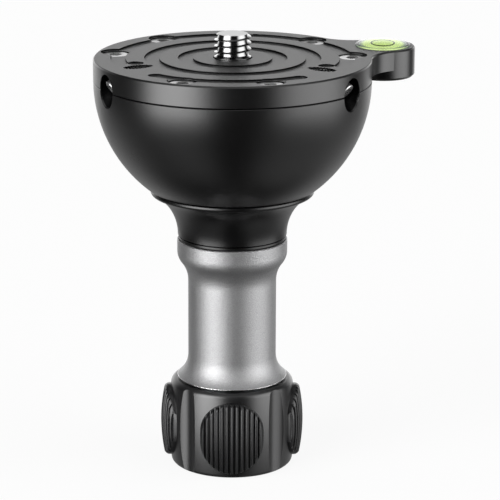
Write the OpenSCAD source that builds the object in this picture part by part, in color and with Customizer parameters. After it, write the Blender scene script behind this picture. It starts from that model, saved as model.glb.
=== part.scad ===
// Half-ball leveling base for a video tripod bowl, with a clamp handle and a locking knob.
// Frame: +Z up the axis, origin at the middle of the knob's flat underside, the bubble level towards +X.

/* [Top plate] */
// Radius of the plate and of the half ball under it
ball_r = 36; // [34:0.5:44]
// Thickness of the plate
plate_t = 5.7; // [5.4:0.1:7]
// Chamfer round the top edge of the plate and its lug
plate_edge = 0.4; // [0.2:0.05:0.8]
// Break of the two edges at the seam between plate and ball
seam_edge = 0.25; // [0.1:0.05:0.5]
// Height of the locating rim under the plate
rim_h = 2; // [1:0.1:3]
// Width of the locating rim
rim_w = 3; // [2:0.1:4]
// Inner radius of the first ring groove
groove_r = 10.2; // [9.6:0.1:10.6]
// Width of the ring grooves
groove_w = 3.9; // [2.5:0.1:4.5]
// Step from one ring groove to the next
groove_pitch = 8.7; // [8:0.1:8.8]
// Depth of the ring grooves and dimples
groove_depth = 0.5; // [0.2:0.05:0.8]
// Angle of the bridge in the outer groove on each side of the rear lock screw
bridge_rear = 9; // [8:0.5:12]
// Angle from a front lock screw back to the end of the groove
bridge_side = 13; // [11:0.5:15]
// Angle from a front lock screw forward to the end of the groove
bridge_front = 22.5; // [18:0.5:26]
// Radius of the two dimples beside the front lock screws
dimple_r = 2.1; // [1.5:0.1:2.4]
// Inset of the dimples from the edge of the plate
dimple_inset = 10.1; // [9.6:0.1:10.6]
// Angle from a lock screw to the dimple beside it
dimple_angle = 10; // [9:0.5:12]

/* [Bubble level] */
// Distance from the edge of the plate to the middle of the level
vial_offset = 6.8; // [6:0.1:10]
// Radius of the lug's round end
lug_r = 8.5; // [8:0.1:10]
// Radius of the fillets that blend the lug into the plate
lug_fillet = 11; // [8:0.5:14]
// Height of the lug
lug_h = 8; // [7.4:0.1:9]
// Height from the lug's foot up to the underside of its web
web_step = 2.8; // [0.5:0.1:4]
// Chamfer round the lug's lower edge
lug_edge = 0.7; // [0.3:0.1:1.2]
// Clearance of the lug's lower part round the ball
lug_cove = 0.3; // [0.2:0.05:1]
// Radius of the level's cup
vial_r = 7.2; // [6.8:0.05:7.4]
// Wall and floor of the level's cup
vial_wall = 1; // [0.7:0.1:1.4]
// Height of the level's pocket floor above the ball's rim
vial_clear = 0.2; // [0.1:0.05:0.6]
// Height of the lens's middle over the plate
lens_rise = 1.3; // [0.4:0.05:1.6]
// Thickness of the lens at its edge
lens_edge_t = 0.75; // [0.5:0.05:1.2]
// Bulge of the lens
lens_bulge = 0.9; // [0.3:0.05:1.2]
// Radius of the bubble under the lens
bubble_r = 2.4; // [1.8:0.1:2.6]
// Depth of the bubble
bubble_h = 0.9; // [0.6:0.05:1.2]
// Inner radius of the target ring
target_r = 2.75; // [2.7:0.05:3.5]
// Width of the target ring's line
target_w = 0.4; // [0.2:0.05:0.6]
// Depth of the target ring in the lens
target_t = 0.2; // [0.1:0.05:0.3]

/* [Head stud] */
// Height of the stud over the plate
stud_h = 6.3; // [5.6:0.1:12]
// Crest radius of the stud's thread, three eighths of an inch across
stud_r = 4.7625; // [3.9625:0.05:4.8625]
// Pitch of the stud's thread, sixteen to the inch
stud_pitch = 1.5875; // [1.2875:0.05:1.5875]
// Height of the undercut at the foot of the thread
stud_relief = 0.8; // [0.4:0.1:1]
// Thickness of the plate's lip round the stud
stud_lip = 1.2; // [0.8:0.1:1.4]
// Radial gap between the lip and the stud's thread
lip_gap = 0.3; // [0.2:0.05:0.5]
// Radius of the stud's shoulder under the lip
shoulder_r = 6; // [5.6:0.1:6.4]
// Radius of the flange in the underside of the plate
flange_r = 7.5; // [7:0.1:8]
// Thickness of the flange
flange_t = 2; // [1.5:0.1:2.2]
// Outer radius of the retaining ring
clip_r = 8.3; // [8.2:0.1:9]
// Width of the retaining ring
clip_w = 2; // [1.6:0.1:2.4]
// Thickness of the retaining ring
clip_t = 1.2; // [0.8:0.1:1.4]
// Depth of the retaining ring inside the plate
clip_depth = 0.6; // [0.4:0.1:0.8]
// Opening of the retaining ring
clip_open = 5; // [3:0.5:8]

/* [Plate screws] */
// Inset of the plate screws from the edge of the plate
screw_inset = 4.8; // [4.7:0.1:5.2]
// Half angle between the two screws of a pair
screw_half_angle = 20.5; // [18:0.5:22]
// Turn of the first pair from the level's lug
pair_turn = 4.5; // [0:0.5:8]
// Radius of the screw heads
screw_head_r = 3.5; // [3:0.05:3.6]
// Height of the screw heads
screw_head_h = 3.2; // [2.6:0.1:3.4]
// Depth of the screw heads under the plate's face
screw_sink = 0.7; // [0.3:0.1:0.9]
// Radial gap round the screw heads
head_gap = 0.4; // [0.2:0.05:0.5]
// Radius of the screws
screw_r = 2; // [1.6:0.05:2.1]
// Length of the screws under the head
screw_l = 9; // [7:0.5:11]
// Width across the flats of the screws' socket
screw_hex = 3; // [2.5:0.1:3.4]
// Depth of the screws' socket
screw_socket = 2; // [1.4:0.1:2.2]

/* [Lock screws] */
// Angle that the lock screws rise towards the middle
lock_rise = 32; // [31:0.5:34]
// Radius of the lock screws
lock_r = 1.94; // [1.74:0.05:2.04]
// Length of the lock screws
lock_l = 5.6; // [5:0.1:5.7]
// Length of a lock screw that stands out in its key hole
lock_out = 2.4; // [2:0.1:2.5]
// Radius of the key holes in the side
key_r = 3.8; // [3.4:0.1:4]
// Depth of the key holes along the screw's line
key_depth = 3.8; // [3.5:0.1:4]
// Width across the flats of the lock screws' socket
lock_hex = 2; // [1.5:0.1:2.2]
// Depth of the lock screws' socket
lock_socket = 1.5; // [1:0.1:1.7]
// Pitch of the lock screws' thread
lock_pitch = 0.7; // [0.5:0.05:0.8]
// Depth of the thread in the lock screws' holes
lock_thread = 0.25; // [0.15:0.05:0.3]
// Radius of the soft tips
tip_r = 1.2; // [1:0.05:1.4]
// Length of a soft tip outside its screw
tip_l = 1.2; // [0.8:0.1:1.3]
// Radius of the stem of a soft tip
stem_r = 0.7; // [0.5:0.05:0.8]
// Length of the stem of a soft tip
stem_l = 1; // [0.6:0.1:1.1]

/* [Half ball] */
// Radius of the flat on the underside of the ball
ball_flat_r = 22; // [20.4:0.1:22.8]
// Thickness of the floor that holds the draw rod
ball_floor = 5.2; // [4:0.1:7]
// Radius of the floor inside the ball
floor_r = 17; // [14:0.5:18]
// Depth of the straight wall inside the ball
cavity_h = 12; // [11:0.5:14]
// Wall between the plate screws and the hollow
screw_wall = 2.2; // [1.8:0.1:3]

/* [Draw rod] */
// Crest radius of the draw rod's thread
rod_r = 5; // [4.5:0.05:5.5]
// Pitch of the draw rod's thread
rod_pitch = 1.5; // [1.25:0.05:1.75]
// Length of the rolled thread at the lower end
rod_thread_l = 27; // [24:0.5:30]
// Radius of the collar under the ball
collar_r = 8; // [7.5:0.1:9.5]
// Thickness of the collar
collar_t = 2; // [1.5:0.1:3]
// Width across the flats of the rod's nut
nut_hex = 16; // [14:0.1:17]
// Height of the rod's nut
nut_h = 8; // [6:0.1:9]
// Radius of the washer under the nut
washer_r = 10; // [9.5:0.1:12]
// Thickness of the washer under the nut
washer_t = 1.2; // [1:0.1:2]
// Height of the rod's lower end over the cap of the knob
rod_end_gap = 1.5; // [1:0.1:3]

/* [Clamp cup] */
// Height of the cup
cup_h = 10.9; // [10:0.1:13]
// Step in from the handle's side to the cup's foot
cup_foot_step = 0.15; // [0:0.05:0.6]
// Radius of the cup at its top
cup_top_r = 20.2; // [19.4:0.1:21]
// Thickness of the cup's floor
cup_floor = 4; // [3.6:0.1:5]
// Radius of the hollow in the cup
hollow_r = 11.5; // [10.5:0.1:12]
// Thickness of the friction ring on the cup
ring_t = 1.5; // [0.7:0.05:1.8]
// Radius of the friction ring's outer edge
ring_r = 21.4; // [21:0.1:22.4]
// Inner radius of the friction ring
ring_in = 12; // [11.5:0.1:13]
// Gap between the ball and the friction ring at rest
cup_gap = 0.3; // [0.2:0.05:0.6]

/* [Handle] */
// Length of the handle
handle_h = 37.7; // [36:0.1:55]
// Radius of the handle's two ends
handle_r = 14.45; // [14:0.05:15]
// Radius of the handle's waist
waist_r = 11.6; // [11:0.05:12]
// Height of the straight collar at the top of the handle
handle_collar_h = 3.3; // [2:0.1:5]
// Height of the curve from the collar to the waist
shoulder_h = 8; // [7:0.1:10]
// Share of that curve which bulges out
shoulder_share = 0.36; // [0.2:0.02:0.6]
// Height of the flare at the foot of the handle
foot_h = 5.9; // [5:0.1:8]
// Height of the bright rim at the foot of the handle
foot_rim = 0.3; // [0.25:0.05:0.8]
// Break of the handle's end edges
handle_edge = 0.2; // [0.1:0.05:0.25]
// Radius of the handle's bore
handle_bore = 8; // [7.5:0.05:8.5]
// Step from the handle's side in to its spigot in the cup
spigot_step = 4.45; // [3.9:0.05:5]
// Depth of the spigot inside the cup
spigot_depth = 2.3; // [1.5:0.1:3]
// Thickness of the slip washer between the cup and the handle
slip_t = 1.3; // [1:0.05:2]
// Thickness of the slip washer's outer fin
slip_fin_t = 0.5; // [0.3:0.05:0.8]
// Width of the slip washer's outer fin
slip_fin_w = 1.7; // [1.2:0.1:2.2]
// Step in from the handle's side to the slip washer's edge
slip_step = 0.35; // [0.1:0.05:0.8]
// Length of the guide bushes
bush_l = 9; // [6:0.5:12]
// Depth of the guide bushes inside the handle's ends
bush_depth = 0.4; // [0.2:0.1:1]

/* [Knob] */
// Height of the knob
knob_h = 23.3; // [22.8:0.1:27]
// Largest radius of the knob
knob_r = 16.75; // [16.4:0.05:17.2]
// Radius of the knob's ends before their fillets
knob_end_r = 16; // [15.7:0.05:16.2]
// Fillet round the top of the knob
knob_top_fillet = 1.5; // [1:0.1:2]
// Fillet round the bottom of the knob
knob_foot_fillet = 1.3; // [1:0.1:3]
// Radius of the four flutes
flute_r = 5; // [4:0.1:7]
// Depth of the flutes
flute_depth = 1.1; // [0.8:0.05:1.3]
// Turn of the knob at rest
knob_turn = 67.5; // [45:0.5:90]
// Gap between the knob and the handle
knob_gap = 0.4; // [0.3:0.05:0.8]
// Radius of the thrust washer
thrust_r = 12; // [11:0.1:12.6]
// Thickness of the thrust washer
thrust_t = 1; // [0.8:0.05:1.4]
// Width across the flats of the knob's nut
knob_nut_hex = 17; // [15:0.1:18]
// Height of the knob's nut
knob_nut_h = 17.5; // [15:0.1:18]
// Radius of the cap under the knob
cap_r = 11; // [10.6:0.1:12]
// Thickness of the cap
cap_t = 2.5; // [1.8:0.1:3]

/* [Grip pads] */
// Width of a pad
pad_w = 16.6; // [15:0.1:17]
// Height of a pad
pad_h = 19.4; // [18:0.1:19.6]
// Drop of the pads' middle below the middle of the knob
pad_drop = 0.3; // [0:0.05:0.4]
// Radius from the axis to the face of a pad
pad_reach = 18.9; // [18.4:0.05:20]
// Radius of the curve of a pad's face
pad_curve = 14; // [12:0.1:18]
// Fillet of a pad's upper and lower outer edges
pad_fillet = 1.2; // [0.8:0.1:1.6]
// Radius from the axis to the floor of the pads' pockets
pad_floor = 13.4; // [13:0.1:13.8]
// Number of ribs on a pad
pad_ribs = 13; // [9:2:13]
// Angle from rib to rib, about the middle of the face's curve
rib_step = 5.6; // [5:0.1:5.8]
// Radius of the grooves between the ribs
rib_groove = 0.42; // [0.3:0.02:0.5]

/* [Fits] */
// Radial clearance of seated pieces
fit_gap = 0.02; // [0.01:0.01:0.05]
// Radial clearance of running pieces
run_gap = 0.05; // [0.03:0.01:0.08]
// Radial clearance of plain holes round the rod
rod_clear = 0.6; // [0.4:0.05:1]

/* [Hidden] */
$fn = 96;

// Overshoot of a cutting tool past the face that it leaves
over = 1;
// Break of small turned edges
turned_edge = 0.2;
// Bite of a round cut past the wall that it runs into
bite = 0.05;
// Sides of the large shallow arcs, which the exact surface replaces
arc_sides = 720;

// Heights, stacked from the knob's underside
handle_z = knob_h + knob_gap;
thrust_z = handle_z - run_gap - thrust_t;
handle_top = handle_z + handle_h;
cup_z = handle_top + slip_t;
cup_top = cup_z + cup_h;
flat_z = cup_top + ring_t + cup_gap;
seam_z = flat_z + sqrt(ball_r * ball_r - ball_flat_r * ball_flat_r);
top_z = seam_z + plate_t;
floor_z = flat_z + ball_floor;
rod_end_z = cap_t + rod_end_gap;
rod_top_z = floor_z + washer_t + nut_h + rod_pitch;

// Widths that follow the handle's side
cup_foot_r = handle_r - cup_foot_step;
slip_r = handle_r - slip_step;
spigot_r = handle_r - spigot_step;
slip_fin_r = slip_r - slip_fin_w;

// Plan of the plate
screw_circle = ball_r - screw_inset;
cavity_r = screw_circle - screw_r - screw_wall;
vial_x = ball_r + vial_offset;
pair_angles = [pair_turn, pair_turn + 120, pair_turn + 240];
lock_angles = [for (a = pair_angles) a + 60];
bridge_ends = [[lock_angles[0] - bridge_rear, lock_angles[0] + bridge_rear],
               [lock_angles[1] - bridge_side, lock_angles[1] + bridge_front],
               [lock_angles[2] - bridge_front, lock_angles[2] + bridge_side]];
screw_angles = [for (a = pair_angles) for (side = [-1, 1]) a + side * screw_half_angle];
screw_seat_z = top_z - screw_sink - screw_head_h;
flange_z = seam_z + clip_depth + clip_t;

// Length of a lock screw's line from the side of the plate to its top face
lock_line = plate_t / sin(lock_rise);
lock_bore = lock_r + run_gap;
lock_set = key_depth + turned_edge - lock_out;

// Level
pocket_z = seam_z + vial_clear;
lens_z = top_z + lens_rise - lens_bulge - lens_edge_t;
vial_in = vial_r - vial_wall;

// Corner radius of a hexagon from its width across the flats
function hex_r(flats) = flats / 2 / cos(30);

// Radius of the arc that leaves a straight line and is off by rise after a run along it
function arc_r(rise, run) = (rise * rise + run * run) / (2 * rise);

// Depth of a thread as a share of its pitch
thread_share = 0.54;

// Outline of a ring thread, from the axis: crests at r from z0 up to z1, with a chamfered upper end
function thread_outline(r, pitch, z0, z1) =
    let (root = r - thread_share * pitch,
         chamfer = pitch / 2,
         turns = floor((z1 - chamfer - z0) / pitch))
    concat([[0, z0], [r, z0]],
           [for (i = [0 : turns - 1], p = [[r, 1 / 8], [root, 7 / 16], [root, 11 / 16], [r, 1]])
               [p[0], z0 + (i + p[1]) * pitch]],
           [[r, z1 - chamfer], [r - chamfer, z1], [0, z1]]);

module tube(r_out, r_in, h) {
    difference() {
        cylinder(r = r_out, h = h);
        translate([0, 0, -over]) cylinder(r = r_in, h = h + 2 * over);
    }
}

module hex_bar(flats, h) {
    cylinder(r = hex_r(flats), h = h, $fn = 6);
}

// Puts children on a lock screw's line, where local +Z runs up towards the middle from the seam at the side
module on_lock_line(angle) {
    rotate([0, 0, angle]) translate([ball_r, 0, seam_z]) rotate([0, lock_rise - 90, 0]) children();
}

// Tapped hole of a lock screw with its thread rings, and the key hole at the side
module lock_hole() {
    end = lock_line + 2 * lock_r / tan(lock_rise);
    rings = floor((end - key_depth) / lock_pitch);
    translate([0, 0, -2 * key_r]) cylinder(r = key_r, h = 2 * key_r + key_depth);
    rotate_extrude()
        polygon(concat([[0, 0], [lock_bore, 0]],
                       [for (i = [0 : rings - 1], p = [[lock_bore, 0.1], [lock_bore + lock_thread, 0.4],
                                                       [lock_bore + lock_thread, 0.6], [lock_bore, 0.9]])
                           [p[0], key_depth + (i + p[1]) * lock_pitch]],
                       [[lock_bore, end], [0, end]]));
}

module lock_screw(angle) {
    color("#c9ccd0") on_lock_line(angle) translate([0, 0, lock_set]) difference() {
        rotate_extrude()
            polygon([[0, 0], [lock_r - turned_edge, 0], [lock_r, turned_edge], [lock_r, lock_l - turned_edge],
                     [lock_r - turned_edge, lock_l], [0, lock_l]]);
        translate([0, 0, -over]) hex_bar(lock_hex, lock_socket + over);
        translate([0, 0, lock_l - stem_l - fit_gap]) cylinder(r = stem_r + fit_gap, h = stem_l + over);
    }
}

module lock_tip(angle) {
    color("#e8e4d8") on_lock_line(angle) translate([0, 0, lock_set + lock_l]) {
        cylinder(r = tip_r, h = tip_l);
        translate([0, 0, -stem_l]) cylinder(r = stem_r, h = stem_l + tip_l / 2);
    }
}

// Ring groove of the plate in plan
module groove(r_in) {
    difference() {
        circle(r = r_in + groove_w);
        circle(r = r_in);
    }
}

// Outer ring groove in plan, broken at the lock screws by bridges with round ends
module broken_groove(r_in) {
    difference() {
        groove(r_in);
        for (ends = bridge_ends)
            polygon(concat([[0, 0]], [for (a = ends) 2 * ball_r * [cos(a), sin(a)]]));
    }
    for (ends = bridge_ends, a = ends)
        rotate(a) translate([r_in + groove_w / 2, 0]) circle(r = groove_w / 2 + bite);
}

// Middle of a fillet circle, which crosses the plate and the lug's round end by the bite
fillet_plate = ball_r + lug_fillet - bite;
fillet_lug = lug_r + lug_fillet - bite;
fillet_x = (fillet_plate * fillet_plate - fillet_lug * fillet_lug + vial_x * vial_x) / (2 * vial_x);
fillet_y = sqrt(fillet_plate * fillet_plate - fillet_x * fillet_x);

// Web between the plate and the lug's round end, with both fillets and their top chamfers
module lug_web() {
    difference() {
        translate([0, 0, top_z - lug_h + web_step]) linear_extrude(lug_h - web_step)
            polygon([[0, 0], [fillet_x, fillet_y], [vial_x, 0], [fillet_x, -fillet_y]]);
        for (side = [-1, 1]) translate([fillet_x, side * fillet_y, top_z - lug_h - over]) {
            cylinder(r = lug_fillet, h = lug_h + 2 * over);
            translate([0, 0, over + lug_h - plate_edge])
                cylinder(r1 = lug_fillet, r2 = lug_fillet + 2 * plate_edge, h = 2 * plate_edge);
        }
    }
}

// Lug for the level, hollowed below the seam to clear the ball
module lug() {
    difference() {
        union() {
            lug_web();
            translate([vial_x, 0, top_z - lug_h]) rotate_extrude()
                polygon([[0, 0], [lug_r - lug_edge, 0], [lug_r, lug_edge], [lug_r, lug_h - plate_edge],
                         [lug_r - plate_edge, lug_h], [0, lug_h]]);
        }
        translate([0, 0, top_z - lug_h - over]) cylinder(r = ball_r + lug_cove, h = lug_h - plate_t + over);
    }
}

module top_plate() {
    rim_r = cavity_r - fit_gap;
    color("#1c1c1e") difference() {
        union() {
            rotate_extrude()
                polygon([[0, seam_z], [rim_r - rim_w, seam_z], [rim_r - rim_w, seam_z - rim_h],
                         [rim_r, seam_z - rim_h], [rim_r, seam_z], [ball_r - seam_edge, seam_z],
                         [ball_r, seam_z + seam_edge], [ball_r, top_z - plate_edge],
                         [ball_r - plate_edge, top_z], [0, top_z]]);
            lug();
        }
        translate([vial_x, 0, pocket_z]) cylinder(r = vial_r + fit_gap, h = lug_h);
        translate([0, 0, top_z - groove_depth]) {
            linear_extrude(groove_depth + over) groove(groove_r);
            linear_extrude(groove_depth + over) groove(groove_r + groove_pitch);
            linear_extrude(groove_depth + over) broken_groove(groove_r + 2 * groove_pitch);
            for (a = [lock_angles[1] - dimple_angle, lock_angles[2] + dimple_angle])
                rotate([0, 0, a]) translate([ball_r - dimple_inset, 0, 0])
                    cylinder(r = dimple_r, h = groove_depth + over);
        }
        translate([0, 0, seam_z - over]) {
            cylinder(r = stud_r + lip_gap, h = plate_t + 2 * over);
            cylinder(r = shoulder_r + fit_gap, h = over + plate_t - stud_lip);
            cylinder(r = flange_r + fit_gap, h = over + clip_depth + clip_t + flange_t);
        }
        translate([0, 0, seam_z + clip_depth]) cylinder(r = clip_r + fit_gap, h = clip_t);
        for (a = screw_angles) rotate([0, 0, a]) translate([screw_circle, 0, 0]) {
            translate([0, 0, seam_z - over]) cylinder(r = screw_r + head_gap / 2, h = plate_t + 2 * over);
            translate([0, 0, screw_seat_z]) cylinder(r = screw_head_r + head_gap, h = plate_t);
        }
        for (a = lock_angles) on_lock_line(a) lock_hole();
    }
}

module half_ball() {
    color("#1c1c1e") difference() {
        rotate_extrude() difference() {
            intersection() {
                translate([0, seam_z]) circle(r = ball_r, $fn = arc_sides);
                polygon([[0, flat_z], [ball_r, flat_z], [ball_r, seam_z - seam_edge],
                         [ball_r - seam_edge, seam_z], [0, seam_z]]);
            }
            polygon([[0, floor_z], [floor_r, floor_z], [cavity_r, seam_z - cavity_h],
                     [cavity_r, seam_z + over], [0, seam_z + over]]);
            translate([0, flat_z - over]) square([rod_r + fit_gap, ball_floor + 2 * over]);
        }
        for (a = screw_angles) rotate([0, 0, a])
            translate([screw_circle, 0, screw_seat_z - screw_l - turned_edge])
                cylinder(r = screw_r + fit_gap, h = screw_l + plate_t);
        for (a = lock_angles) on_lock_line(a) lock_hole();
    }
}

module head_stud() {
    thread_z = top_z + stud_relief;
    lip_z = top_z - stud_lip;
    root_r = stud_r - thread_share * stud_pitch;
    color("#d2d4d6") {
        rotate_extrude()
            polygon([[0, flange_z], [flange_r, flange_z], [flange_r, flange_z + flange_t],
                     [shoulder_r, flange_z + flange_t], [shoulder_r, lip_z - turned_edge],
                     [shoulder_r - turned_edge, lip_z], [root_r, lip_z], [root_r, thread_z + stud_relief],
                     [0, thread_z + stud_relief]]);
        rotate_extrude() polygon(thread_outline(stud_r, stud_pitch, thread_z, top_z + stud_h));
    }
}

module stud_clip() {
    color("#55585c") translate([0, 0, seam_z + clip_depth]) difference() {
        tube(clip_r, clip_r - clip_w, clip_t);
        translate([0, -clip_open / 2, -over]) cube([clip_r + over, clip_open, clip_t + 2 * over]);
    }
}

module plate_screws() {
    color("#c9ccd0") for (a = screw_angles) rotate([0, 0, a])
        translate([screw_circle, 0, screw_seat_z]) difference() {
            rotate_extrude()
                polygon([[0, -screw_l], [screw_r - turned_edge, -screw_l],
                         [screw_r, turned_edge - screw_l], [screw_r, 0],
                         [screw_head_r, 0], [screw_head_r, screw_head_h - turned_edge],
                         [screw_head_r - turned_edge, screw_head_h], [0, screw_head_h]]);
            translate([0, 0, screw_head_h - screw_socket]) hex_bar(screw_hex, screw_socket + over);
        }
}

module lock_screw_1() { lock_screw(lock_angles[0]); }
module lock_screw_2() { lock_screw(lock_angles[1]); }
module lock_screw_3() { lock_screw(lock_angles[2]); }
module lock_tip_1() { lock_tip(lock_angles[0]); }
module lock_tip_2() { lock_tip(lock_angles[1]); }
module lock_tip_3() { lock_tip(lock_angles[2]); }

module vial_cup() {
    color("#d9e0d6") translate([vial_x, 0, pocket_z]) difference() {
        cylinder(r = vial_r, h = lens_z - pocket_z);
        translate([0, 0, vial_wall]) cylinder(r = vial_in, h = lug_h);
    }
}

// Flat bubble under the lens: the lower cap of a sphere
module bubble() {
    sphere_r = arc_r(bubble_h, bubble_r);
    translate([vial_x, 0, lens_z]) intersection() {
        translate([0, 0, sphere_r - bubble_h]) sphere(r = sphere_r);
        translate([0, 0, -2 * bubble_h]) cylinder(r = 2 * bubble_r, h = 2 * bubble_h);
    }
}

module vial_liquid() {
    floor_top = pocket_z + vial_wall;
    color("#c6dc4a") difference() {
        translate([vial_x, 0, floor_top]) cylinder(r = vial_in - fit_gap, h = lens_z - floor_top);
        bubble();
    }
}

module vial_bubble() {
    color("#eef6c8") bubble();
}

module vial_target_ring() {
    color("#151515") translate([vial_x, 0, lens_z]) tube(target_r + target_w, target_r, target_t);
}

module vial_lens() {
    dome_r = arc_r(lens_bulge, vial_r);
    color("#e6ebe6") translate([vial_x, 0, lens_z]) difference() {
        rotate_extrude() intersection() {
            square([vial_r, lens_edge_t + lens_bulge]);
            translate([0, lens_edge_t + lens_bulge - dome_r]) circle(r = dome_r, $fn = arc_sides);
        }
        translate([0, 0, -over]) tube(target_r + target_w + fit_gap, target_r - fit_gap, over + target_t);
    }
}

module draw_rod() {
    thread_top = rod_end_z + rod_thread_l;
    color("#8d9094") {
        translate([0, 0, thread_top]) mirror([0, 0, 1])
            rotate_extrude() polygon(thread_outline(rod_r, rod_pitch, 0, rod_thread_l));
        translate([0, 0, thread_top]) cylinder(r = rod_r, h = rod_top_z - thread_top);
        translate([0, 0, flat_z - collar_t]) cylinder(r = collar_r, h = collar_t);
    }
}

module rod_nut() {
    color("#9a9da1") translate([0, 0, floor_z + washer_t]) difference() {
        hex_bar(nut_hex, nut_h);
        translate([0, 0, -over]) cylinder(r = rod_r + fit_gap, h = nut_h + 2 * over);
    }
}

module rod_washer() {
    color("#9a9da1") translate([0, 0, floor_z]) tube(washer_r, rod_r + run_gap, washer_t);
}

module clamp_cup() {
    flare_r = arc_r(cup_top_r - cup_foot_r, cup_h);
    color("#1a1a1c") rotate_extrude() difference() {
        translate([0, cup_z]) square([cup_top_r, cup_h]);
        translate([cup_foot_r + flare_r, cup_z]) circle(r = flare_r, $fn = arc_sides);
        translate([0, cup_z + cup_floor]) square([hollow_r, cup_h]);
        translate([0, cup_z - over]) square([spigot_r + fit_gap, spigot_depth + over]);
        translate([0, cup_z - over]) square([rod_r + rod_clear, cup_h]);
    }
}

// Friction ring between the cup and the ball, with a full round outer edge
module cup_ring() {
    edge_r = ring_t / 2;
    color("#2b2b2d") translate([0, 0, cup_top]) rotate_extrude() {
        translate([ring_in, 0]) square([ring_r - edge_r - ring_in, ring_t]);
        translate([ring_r - edge_r, edge_r]) circle(r = edge_r);
    }
}

module slip_washer() {
    color("#3a3b3d") translate([0, 0, handle_top]) rotate_extrude() {
        translate([spigot_r + fit_gap, 0]) square([slip_fin_r - spigot_r - fit_gap, slip_t]);
        translate([spigot_r + fit_gap, (slip_t - slip_fin_t) / 2])
            square([slip_r - spigot_r - fit_gap, slip_fin_t]);
    }
}

// Two shoulder arcs that meet on one tangent between the collar and the waist
waist_drop = handle_r - waist_r;
shoulder_turn = 2 * atan(waist_drop / shoulder_h);
shoulder_out = shoulder_share * shoulder_h / sin(shoulder_turn);
shoulder_in = shoulder_h / sin(shoulder_turn) - shoulder_out;

module handle() {
    collar_z = handle_top - handle_collar_h;
    meet_z = collar_z - shoulder_out * sin(shoulder_turn);
    meet_r = handle_r - shoulder_out * (1 - cos(shoulder_turn));
    waist_z = collar_z - shoulder_h;
    foot_z = handle_z + foot_rim;
    foot_flare = arc_r(waist_drop, foot_h);
    color("#8b8d90") rotate_extrude() difference() {
        union() {
            polygon([[0, collar_z], [handle_r, collar_z], [handle_r, handle_top - handle_edge],
                     [handle_r - handle_edge, handle_top], [0, handle_top]]);
            translate([0, handle_top]) square([spigot_r, slip_t + spigot_depth - run_gap]);
            translate([0, waist_z]) square([handle_r - shoulder_out, collar_z - waist_z]);
            intersection() {
                translate([handle_r - shoulder_out, collar_z]) circle(r = shoulder_out, $fn = arc_sides);
                translate([0, waist_z]) square([handle_r, collar_z - waist_z]);
            }
            difference() {
                translate([0, waist_z]) square([meet_r, meet_z - waist_z]);
                translate([waist_r + shoulder_in, waist_z]) circle(r = shoulder_in, $fn = arc_sides);
            }
            translate([0, foot_z]) square([waist_r, waist_z - foot_z]);
            difference() {
                translate([0, foot_z]) square([handle_r, foot_h]);
                translate([waist_r + foot_flare, foot_z + foot_h]) circle(r = foot_flare, $fn = arc_sides);
            }
            polygon([[0, handle_z], [handle_r - handle_edge, handle_z], [handle_r, handle_z + handle_edge],
                     [handle_r, foot_z], [0, foot_z]]);
        }
        translate([0, handle_z - over]) square([handle_bore, handle_h + slip_t + spigot_depth + 2 * over]);
    }
}

module guide_bush() {
    tube(handle_bore - fit_gap, rod_r + run_gap, bush_l);
}

module upper_bush() {
    color("#e4e0d4") translate([0, 0, handle_top + slip_t + spigot_depth - bush_depth - bush_l]) guide_bush();
}

module lower_bush() {
    color("#e4e0d4") translate([0, 0, handle_z + bush_depth]) guide_bush();
}

module thrust_washer() {
    color("#2a2a2a") translate([0, 0, thrust_z]) tube(thrust_r, rod_r + rod_clear, thrust_t);
}

// Barrel curve of the knob, with its middle at half height
barrel_r = arc_r(knob_r - knob_end_r, knob_h / 2);
barrel_x = knob_r - barrel_r;

// Upper half of the knob's outline from its middle, with a fillet that touches the barrel and the flat end
module half_barrel(fillet) {
    height = knob_h / 2 - fillet;
    x = barrel_x + sqrt(pow(barrel_r - fillet, 2) - height * height);
    touch = height * barrel_r / (barrel_r - fillet);
    intersection() {
        translate([barrel_x, 0]) circle(r = barrel_r, $fn = arc_sides);
        square([knob_r, touch]);
    }
    square([x, knob_h / 2]);
    translate([x, height]) circle(r = fillet);
}

// Long round prism of a pad from the floor of its pocket outwards along +X, grown on all sides by a gap
module pad_prism(gap) {
    r = pad_w / 2 + gap;
    straight = pad_h - pad_w;
    translate([pad_floor, 0, knob_h / 2 - pad_drop]) rotate([90, 0, 90]) linear_extrude(pad_reach) {
        translate([-r, -straight / 2]) square([2 * r, straight]);
        for (side = [-1, 1]) translate([0, side * straight / 2]) circle(r = r);
    }
}

module knob_body() {
    color("#1d1d1f") rotate([0, 0, knob_turn]) difference() {
        rotate([0, 0, 45]) translate([0, 0, knob_h / 2]) rotate_extrude() {
            half_barrel(knob_top_fillet);
            mirror([0, 1]) half_barrel(knob_foot_fillet);
        }
        for (a = [45 : 90 : 315]) rotate([0, 0, a]) translate([knob_r - flute_depth + flute_r, 0, -over])
            cylinder(r = flute_r, h = knob_h + 2 * over);
        for (a = [0 : 90 : 270]) rotate([0, 0, a]) pad_prism(fit_gap);
        translate([0, 0, thrust_z]) cylinder(r = thrust_r + fit_gap, h = knob_h);
        cylinder(r = rod_r + rod_clear, h = knob_h);
        hex_bar(knob_nut_hex + 2 * fit_gap, cap_t + knob_nut_h);
        translate([0, 0, -over]) cylinder(r = cap_r + fit_gap, h = over + cap_t);
    }
}

module knob_nut() {
    color("#c39a4e") rotate([0, 0, knob_turn]) translate([0, 0, cap_t]) difference() {
        hex_bar(knob_nut_hex, knob_nut_h);
        translate([0, 0, -over]) cylinder(r = rod_r + run_gap, h = knob_nut_h + 2 * over);
    }
}

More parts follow.
